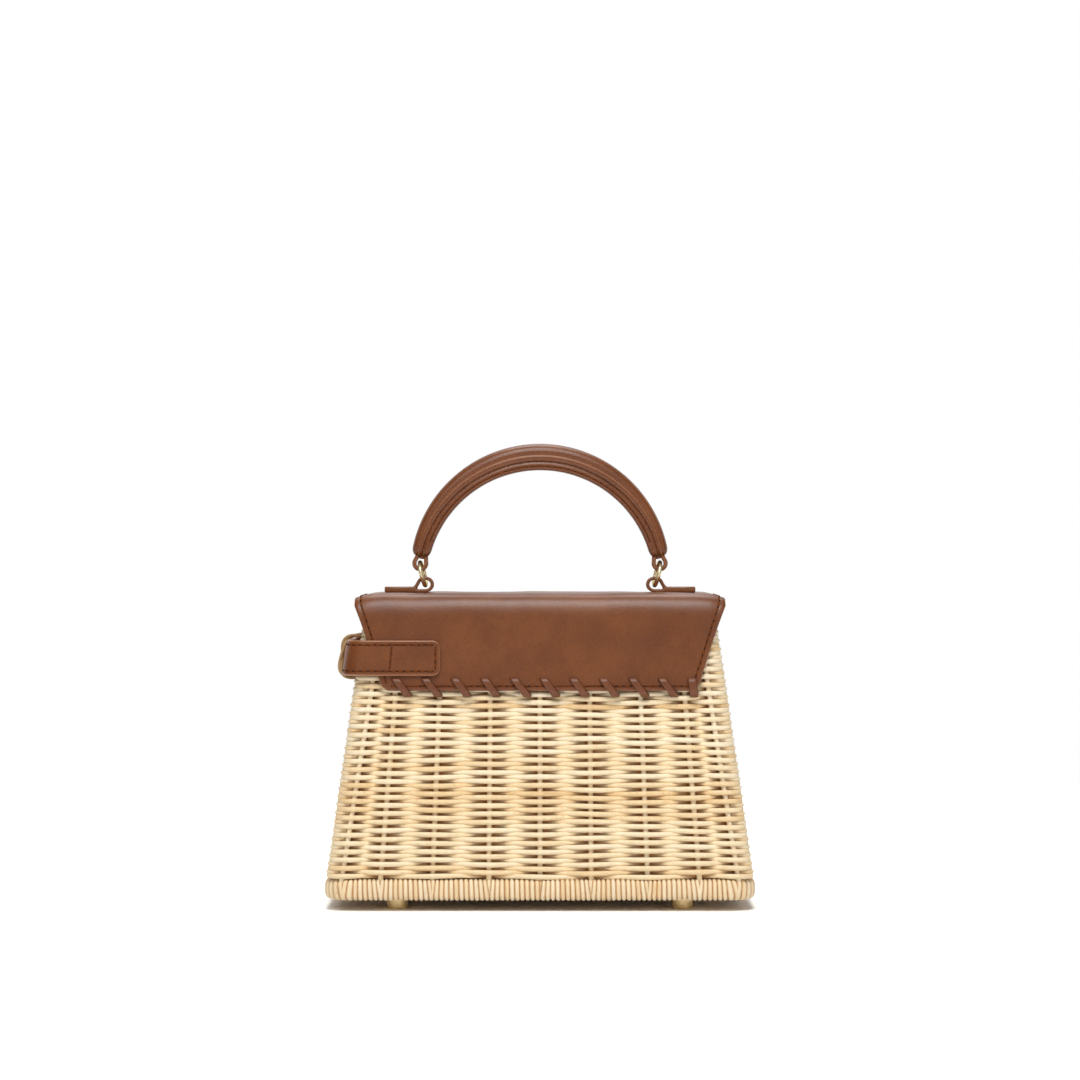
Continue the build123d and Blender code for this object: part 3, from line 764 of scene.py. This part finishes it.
lacing = Shell()
slope = np.array([0.0, math.sin(side_lean), math.cos(side_lean)])
out = np.array([0.0, -math.cos(side_lean), math.sin(side_lean)])
foot_line = np.array([0.0, *profile[0]])
across = np.array([1.0, 0.0, 0.0])
thong_flat = band_section(1.9, 4.6, 0.9, 6, 5)
# Dark outline along the thong's sides: painted shadow.
thong_outline_shade = 0.8 * (np.abs(thong_flat[:, 1]) > 2.1)
thong_count, first_thong_x, thong_pitch = 11, -73.2, 15.05
thong_tilt, last_tilt, hole_height, thong_overhang = 38, 8, 5.6, 1.9
for i in range(thong_count):
    x = first_thong_x + thong_pitch * i
    last = i == thong_count - 1
    tilt = math.radians(last_tilt if last else thong_tilt + 3 * (rng.random() - 0.5))
    down = np.array([math.sin(tilt), 0, 0]) - slope * math.cos(tilt)
    hole = foot_line + slope * hole_height + np.array([x, 0, 0])
    span = (hole_height + thong_overhang) / math.cos(tilt)
    marks = [(0.6, -1.3), (-0.4, 0.2), (0.7, 1.15), (span * 0.45, 1.15),
             (span * 0.85, 0.9), (span + 0.1, 0.0), (span + 0.4, -1.8), (span + 0.3, -3.6)]
    path = smooth_path([hole + down * d + out * h for d, h in marks], 3)
    u = np.linspace(0, 1, len(path))
    plump = 0.5 + 0.5 * np.sqrt(1 - (1 - np.clip(u / 0.26, 0, 1)) ** 2)
    section = thong_flat[None] * np.stack([np.ones_like(u), plump], -1)[:, None]
    # The thong's width stays level, so its ends lie along the edge of the hide.
    normal = unit(np.cross(unit(np.gradient(path, axis=0)), across))
    rings = path[:, None] + section[..., :1] * normal[:, None] + section[..., 1:] * across
    lacing.skin(rings, tone=rng.random(), painted_light=thong_outline_shade[None])
lace_piece = lacing.make("lace_thongs", thong, "lace_leather")
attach(lace_piece, "basket")
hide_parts("lacing")


# Straps round the left end.

def strap_line(z, end_offset, sign, tip):
    y = sign * (half_depth(z) + strap_face)
    x = -(half_width(z) + end_offset)
    pts = [(px, y) for px in np.linspace(strap_sewn_x, x + strap_bend, 22)]
    for a in np.linspace(0, 90, 14)[1:-1]:
        r = math.radians(a)
        pts.append((x + strap_bend - strap_bend * math.sin(r),
                    y - sign * strap_bend + sign * strap_bend * math.cos(r)))
    pts += [(x, py) for py in np.linspace(y - sign * strap_bend, tip, 18)]
    return np.column_stack([pts, np.full(len(pts), z)])


strap_corner, strap_stitch = 3.8, 2.3


def make_strap(name, node_name, body, end_offset, sign, tip, box_from):
    low = strap_line(strap_low, end_offset, sign, tip)
    high = strap_line(strap_high, end_offset, sign, tip)
    middle = (low + high) / 2
    s = running(middle)
    # Extra rings close to both ends carry the rounded corners.
    extra = np.array([0.0, 0.15, 0.5, 1.0, 1.7, 2.6, strap_corner])
    grid = np.unique(np.concatenate([extra, s[-1] - extra, s[(s > 4.2) & (s < s[-1] - 4.2)]]))
    middle, up = at_length(middle, s, grid), unit(at_length(high - low, s, grid))
    width = strap_high - strap_low
    flat = band_section(strap_thick, width, 0.8, 17, 4)
    groove = 0.22 * np.exp(-((width / 2 - np.abs(flat[:, 1]) - strap_stitch) / 0.45) ** 2)
    flat[:, 0] -= np.sign(flat[:, 0]) * groove
    end_gap = np.minimum(grid, grid[-1] - grid)
    short = np.clip(strap_corner - end_gap, 0, strap_corner)
    keep = 1 - (strap_corner - np.sqrt(strap_corner ** 2 - short ** 2)) / (width / 2)
    thin = 1 - np.clip(0.5 - end_gap, 0, 0.5)
    section = flat[None] * np.stack([thin, keep], -1)[:, None]
    rings = sweep(middle, section, up)
    # Rounded edges and ends take the lighter edge colour, a painted highlight.
    edge_highlight_band = (np.abs(flat[:, 1]) > width / 2 - 0.45).astype(float)
    painted_light = np.maximum(edge_highlight_band[None], (end_gap < 0.2)[:, None].astype(float))
    strap = Shell()
    strap.skin(rings, tone=0.5, painted_light=painted_light)
    piece = strap.make(name, hide, "leather")
    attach(piece, body)
    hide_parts(node_name)
    tangent = unit(np.gradient(middle, axis=0))
    face = unit(np.cross(tangent, up)) * (1 if sign > 0 else -1)
    top = middle + face * (strap_thick / 2 - 0.12)
    sewn = Shell()
    inside = (grid > strap_stitch) & (grid < grid[-1] - strap_stitch)
    for edge_side in (-1, 1):
        line = top[inside] + up[inside] * edge_side * (width / 2 - strap_stitch)
        add_stitches(sewn, line, face[inside])
    for place in (strap_stitch, box_from, grid[-1] - strap_stitch):
        at = np.full(8, place)
        c, n, w = at_length(top, grid, at), at_length(face, grid, at), at_length(up, grid, at)
        line = c + w * np.linspace(-1, 1, 8)[:, None] * (width / 2 - 2.6)
        add_stitches(sewn, line, n)
    sewn_piece = sewn.make(name + "_stitching", thread, "leather")
    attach(sewn_piece, body)


make_strap("strap_rear_band", "strap_rear", "basket", end_offset=6.27, sign=-1, tip=24.0, box_from=25.0)
make_strap("strap_front_band", "strap_front", "lid", end_offset=9.0, sign=1, tip=5.0, box_from=25.0)


# Keeper: a twisted pair of canes bowed out from the left end.

keeper = Shell()
keeper_y, keeper_wide, twist_radius, twist_period = -4.0, 1.6, 0.6, 24.0
bow = [(-3.4, 118.2), (2.0, 117.7), (7.6, 117.9), (10.5, 121.2), (10.4, 128.6),
       (10.6, 136.2), (7.6, 139.1), (2.0, 139.4), (-3.4, 139.0)]
bow_path = smooth_path([(-(half_width(z) + o), keeper_y, z) for o, z in bow], 4)
bow_run = running(bow_path)
grid = np.linspace(0, bow_run[-1], 90)
bow_path = at_length(bow_path, bow_run, grid)
bow_side = unit(np.cross(unit(np.gradient(bow_path, axis=0)), (0, 1, 0)))
for start in (0.0, math.pi):
    spin = start + grid * TURN / twist_period
    path = bow_path + twist_radius * (np.cos(spin)[:, None] * np.array([0, 1, 0])
                                      + np.sin(spin)[:, None] * bow_side)
    keeper.skin(sweep(path, oval(keeper_wide, keeper_wide, 9), (0, 1, 0)), tone=0.3 + 0.4 * rng.random())
keeper_piece = keeper.make("keeper_twist", keeper_cane, "cane")
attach(keeper_piece, "basket")
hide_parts("strap_keeper")


# Handle: padded cover, side bands and a stitched inner strip.

half_section = np.array([
    (0.0, 0.0), (3.6, 0.0), (4.9, 0.012), (5.45, 0.04), (5.6, 0.10), (5.6, 0.16), (5.58, 0.235),
    (5.4, 0.285), (5.0, 0.315), (5.1, 0.332), (5.7, 0.345), (6.1, 0.37), (6.3, 0.42), (6.38, 0.455),
    (6.32, 0.485), (6.1, 0.51), (5.6, 0.53), (5.3, 0.54), (5.4, 0.56), (5.55, 0.60), (5.55, 0.66),
    (5.4, 0.73), (5.0, 0.81), (4.4, 0.88), (3.55, 0.935), (2.4, 0.975), (1.2, 0.994), (0.0, 1.0),
])
mirrored = half_section[-2:0:-1] * np.array([-1, 1])
grip_section = np.vstack([half_section, mirrored])
grip_sweep = math.pi - 2 * grip_end
end_steps = np.array([-0.062, -0.056, -0.048, -0.036, -0.022, -0.006, 0.012, 0.034, 0.058])
even_steps = np.linspace(0.08, grip_sweep - 0.08, 64)
angles = np.concatenate([end_steps, even_steps, grip_sweep - end_steps[::-1]])
shoulder, neck_width, neck_low, neck_high = 4.6, 0.6, 0.2, 0.74
rings, stitch_line = [], []
for a in angles:
    d = np.array([math.cos(grip_end + a), 0.0, math.sin(grip_end + a)])
    lift = math.sin(grip_end + a)
    inner = -grip_drop * lift + math.sqrt(grip_inner ** 2 - grip_drop ** 2 * (1 - lift ** 2))
    depth = grip_outer - inner
    # The side band narrows towards the crown of the bow.
    crest = np.clip((lift - 0.3) / 0.6, 0, 1)
    groove_share, ridge_share = 0.40 - 0.10 * crest, 0.66 - 0.11 * crest
    share = np.interp(grip_section[:, 1], [0, 0.315, 0.515, 1], [0, groove_share, ridge_share, 1])
    end_gap = (min(a, grip_sweep - a) - end_steps[0]) * grip_outer
    short = np.clip((shoulder - end_gap) / shoulder, 0, 1)
    full = math.sqrt(max(0.0, 1 - short ** 2))
    across_share = neck_width + (1 - neck_width) * full
    low, high = neck_low * (1 - full), 1 - (1 - neck_high) * (1 - full)
    share = low + share * (high - low)
    centre = np.array([0.0, 0.0, ring_z])
    rings.append(centre + d * (inner + depth * share)[:, None]
                 + across_share * grip_section[:, :1] * np.array([0, 1, 0]))
    stitch_line.append(centre + d * (inner + depth * groove_share * 0.5))
grip = Shell()
# Pale line along the ridge between the cover and the side band: painted highlight.
grip_ridge_highlight = np.where((grip_section[:, 1] > 0.50) & (grip_section[:, 1] < 0.535), 1.0, 0.0)
grip.skin(rings, tone=0.5, painted_light=grip_ridge_highlight[None])
grip_piece = grip.make("handle_padded", hide, "leather")
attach(grip_piece, "handle")
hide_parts("handle_grip")
grip_thread, strip_half, unsewn = Shell(), 5.52, 8
for side in (-1, 1):
    line = np.array(stitch_line)[unsewn:-unsewn] + np.array([0, side * strip_half, 0])
    add_stitches(grip_thread, line, np.broadcast_to([0.0, side, 0.0], line.shape), radius=0.36)
grip_thread_piece = grip_thread.make("handle_stitching", thread, "leather")
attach(grip_thread_piece, "handle")


# Handle loops, lid tabs, rings.

loops, tabs, rings_shell = Shell(), Shell(), Shell()
eye_radius, tab_eye, tab_eye_x = 3.1, 3.3, 3.75
# Tab, loop and slab edges lean part way to the lighter edge colour, a painted highlight.
ply_wide, ply_half_gap, edge_highlight_share = 7.2, 1.7, 0.35
ply, tab_ply = band_section(2.1, ply_wide, 0.6, 6, 4), band_section(1.7, ply_wide, 0.6, 6, 4)
ply_edge_highlight = edge_highlight_share * (np.abs(ply[:, 1]) > 3.25)
slab_thick, slab_middle = 2.95, 1.47
core_shares = np.array([(0.9, 0.9), (1.3, 1.0), (1.3, 1.0), (1.1, 1.0), (1.0, 1.0)])
x_axis, y_axis, z_axis = np.eye(3)
ring_yaw, ring_steps = math.radians(6.0), 64
for side in (-1, 1):
    # Loop strap: round the ring, then both plies and a filler up into the grip.
    lean = np.array([-side * math.sin(grip_end), 0.0, math.cos(grip_end)])
    wide = np.array([lean[2], 0.0, -lean[0]])
    centre = np.array([side * loop_x, 0.0, loop_z])
    path = [centre + lean * h + wide * ply_half_gap for h in (12.0, 6.0)]
    path += [centre + eye_radius * (wide * math.cos(a) + lean * math.sin(a))
             for a in np.linspace(math.radians(28), math.radians(-208), 22)]
    path += [centre + lean * h - wide * ply_half_gap for h in (6.0, 12.0)]
    loops.skin(sweep(smooth_path(path, 2), ply, y_axis), painted_light=ply_edge_highlight[None])
    filler = [centre + lean * h for h in (2.4, 2.7, 3.4, 5.0, 12.0)]
    core = band_section(2.0, 7.0, 0.5, 4, 3)[None] * core_shares[:, None]
    loops.skin(sweep(filler, core, y_axis))
    # Tab: flat on the lid, round the ring, back over itself.
    eye = np.array([side * tab_x, 0.0, lid_top])
    low = tab_z - lid_top - tab_eye
    marks = [(9.0, low), (6.0, low), (3.0, low)]
    marks += [(tab_eye_x * math.sin(a), tab_z - lid_top - tab_eye * math.cos(a))
              for a in np.linspace(0, math.radians(-235), 22)]
    marks = np.array(marks + [(4.0, 4.2), (4.9, 2.8), (6.6, 1.8), (9.0, 1.5)])
    path = smooth_path(eye + marks[:, :1] * side * x_axis + marks[:, 1:] * z_axis, 2)
    tabs.skin(sweep(path, tab_ply, y_axis), painted_light=ply_edge_highlight[None])
    # Both plies, glued and burnished to one slab.
    slab = np.array([(21.0, 0.72), (20.7, 0.92), (20.2, 1.0), (14.0, 1.0), (5.0, 1.0), (4.0, 0.9)])
    path = eye + slab[:, :1] * side * x_axis + slab_middle * z_axis
    flat_slab = band_section(slab_thick, 7.4, 0.7, 6, 4)
    slab_edge_highlight = edge_highlight_share * (np.abs(flat_slab[:, 1]) > 3.4)
    tabs.skin(sweep(path, flat_slab[None] * slab[:, 1:, None], y_axis), painted_light=slab_edge_highlight[None])
    # Ring, leaning with the handle's end and turned a little about its upright axis.
    a = np.arange(ring_steps) * TURN / ring_steps
    tilt = np.array([side * math.sin(ring_lean), 0.0, math.cos(ring_lean)])
    turned = math.sin(ring_yaw)
    flat = np.array([-side * turned * tilt[2], math.cos(ring_yaw), turned * tilt[0] * side])
    hub = np.array([side * ring_x, 0.0, ring_z])
    path = hub + ring_radius * (np.cos(a)[:, None] * flat + np.sin(a)[:, None] * tilt)
    wire = oval(2 * ring_wire, 2 * ring_wire, 16)
    rings_shell.skin(sweep(path, wire, np.cross(tilt, flat), True), loop=True)
loop_piece = loops.make("handle_loop_straps", hide, "leather")
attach(loop_piece, "handle")
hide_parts("handle_loop_left", "handle_loop_right")
tab_piece = tabs.make("lid_tab_straps", hide, "leather")
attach(tab_piece, "lid")
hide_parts("handle_tab_left", "handle_tab_right")
ring_piece = rings_shell.make("linking_rings", gold, "ring_metal")
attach(ring_piece, "handle")
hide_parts("ring_left", "ring_right")


# Feet and clasp cap.

feet = Shell()
foot_profile = [(0.2, 0.0), (4.1, 0.0), (4.6, 0.1), (4.95, 0.42), (5.1, 0.9), (5.25, 2.2), (5.5, 4.0),
                (5.75, 5.6), (5.95, 6.7), (5.95, 7.0), (0.2, 7.0)]
feet_x, feet_y = 73.0, 28.0
for fx in (-feet_x, feet_x):
    for fy in (-feet_y, feet_y):
        lathe(feet, foot_profile, (fx, fy, 0.0), (0, 0, 1))
feet_piece = feet.make("turned_feet", brass, "brass")
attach(feet_piece, "basket")
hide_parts("foot_rear_left", "foot_rear_right", "foot_front_left", "foot_front_right")

low, high = (np.array(c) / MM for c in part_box("clasp_cap"))
cap_axis = np.array([-math.cos(end_lean), 0.0, math.sin(end_lean)])
cap_profile = [(0.2, -0.6), (5.0, -0.6), (5.2, -0.45), (5.2, -0.1), (4.9, 0.2), (4.2, 0.42), (3.9, 0.36),
               (3.6, 0.5), (2.4, 0.68), (1.1, 0.76), (0.2, 0.78)]
cap = Shell()
lathe(cap, cap_profile, (low + high) / 2, cap_axis)
cap_piece = cap.make("clasp_dome", brass, "brass")
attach(cap_piece, "lid")
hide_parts("clasp_cap")

for name, finish in (("base_board", wood), ("foot_screws", steel), ("clasp_magnet", steel)):
    mesh = frame["nodes"][name].data
    mesh.materials.clear()
    mesh.materials.append(finish)


# Studio: white floor and sweep, soft lights, level camera on the rear of the bag.

studio_white, seen_floor = (0.84,) * 3, (1.4,) * 3


def seen_rays(nodes, links):
    path = nodes.new("ShaderNodeLightPath")
    seen = math_node(nodes, links, "MAXIMUM", path.outputs["Is Camera Ray"], path.outputs["Is Glossy Ray"])
    return math_node(nodes, links, "MAXIMUM", seen, path.outputs["Is Transmission Ray"])


def studio_floor(name):
    """Pale floor that reads as white in the open and keeps the shadow."""
    mat, nodes, links, _ = material(name)
    diffuse = nodes.new("ShaderNodeBsdfDiffuse")
    tint = mix_colour(nodes, links, seen_rays(nodes, links), studio_white, seen_floor)
    links.new(tint, diffuse.inputs["Color"])
    links.new(diffuse.outputs[0], nodes["Material Output"].inputs["Surface"])
    return mat


def studio_backdrop(name):
    mat, nodes, links, _ = material(name)
    diffuse = node(nodes, "ShaderNodeBsdfDiffuse", Color=(*studio_white, 1))
    glow = nodes.new("ShaderNodeEmission")
    both = nodes.new("ShaderNodeMixShader")
    links.new(seen_rays(nodes, links), both.inputs[0])
    links.new(diffuse.outputs[0], both.inputs[1])
    links.new(glow.outputs[0], both.inputs[2])
    links.new(both.outputs[0], nodes["Material Output"].inputs["Surface"])
    return mat


# Metres from here on: a flat floor, a quarter round and an upright wall.
floor_front, bend_start, bend_radius, wall_head, sweep_half = -3.2, 0.9, 0.8, 3.2, 3.5
profile_2d = [(floor_front, 0.0), (bend_start, 0.0)]
profile_2d += [(bend_start + bend_radius * math.sin(a), bend_radius - bend_radius * math.cos(a))
               for a in np.linspace(0, math.pi / 2, 16)[1:]]
profile_2d += [(bend_start + bend_radius, wall_head)]
sweep_verts = [(x, y, z) for y, z in profile_2d for x in (-sweep_half, sweep_half)]
sweep_faces = [(2 * i, 2 * i + 1, 2 * i + 3, 2 * i + 2) for i in range(len(profile_2d) - 1)]
floor_mesh = bpy.data.meshes.new("studio_sweep")
floor_mesh.from_pydata(sweep_verts, [], sweep_faces)
floor_mesh.polygons.foreach_set("use_smooth", [True] * len(floor_mesh.polygons))
floor_mesh.materials.append(studio_floor("studio_floor"))
floor_mesh.materials.append(studio_backdrop("studio_backdrop"))
for polygon in floor_mesh.polygons[1:]:
    polygon.material_index = 1
floor = bpy.data.objects.new("studio_sweep", floor_mesh)
bpy.context.scene.collection.objects.link(floor)


def area_light(name, place, target, size, power):
    light = bpy.data.lights.new(name, "AREA")
    light.shape = "DISK"
    light.size = size
    light.energy = power
    obj = bpy.data.objects.new(name, light)
    obj.location = place
    aim = np.asarray(target, float) - np.asarray(place, float)
    obj.rotation_euler = Vector(aim).to_track_quat("-Z", "Y").to_euler()
    bpy.context.scene.collection.objects.link(obj)


lamp_target, world_strength = (0, 0, 0.1), 0.17
area_light("key_light", (-0.7, -1.5, 1.25), lamp_target, size=1.1, power=6.5)
area_light("fill_light", (1.2, -1.6, 0.7), lamp_target, size=1.2, power=4.2)
area_light("front_light", (0.0, -1.0, 1.3), lamp_target, size=0.75, power=15.0)
area_light("top_light", (0.0, 0.4, 1.4), lamp_target, size=0.9, power=10.0)

scene = bpy.context.scene
world = bpy.data.worlds.new("studio_world")
scene.world = world
world.use_nodes = True
background = world.node_tree.nodes["Background"]
background.inputs["Color"].default_value = (1, 1, 1, 1)
background.inputs["Strength"].default_value = world_strength

camera_data = bpy.data.cameras.new("photo_camera")
camera_data.lens = 118.5
camera_data.sensor_width = 36.0
camera = bpy.data.objects.new("photo_camera", camera_data)
camera.location = (0.0, -1.85, 0.1887)
camera.rotation_euler = (math.pi / 2, 0, 0)
scene.collection.objects.link(camera)
scene.camera = camera
scene.view_settings.view_transform = "Standard"

bpy.context.view_layer.update()
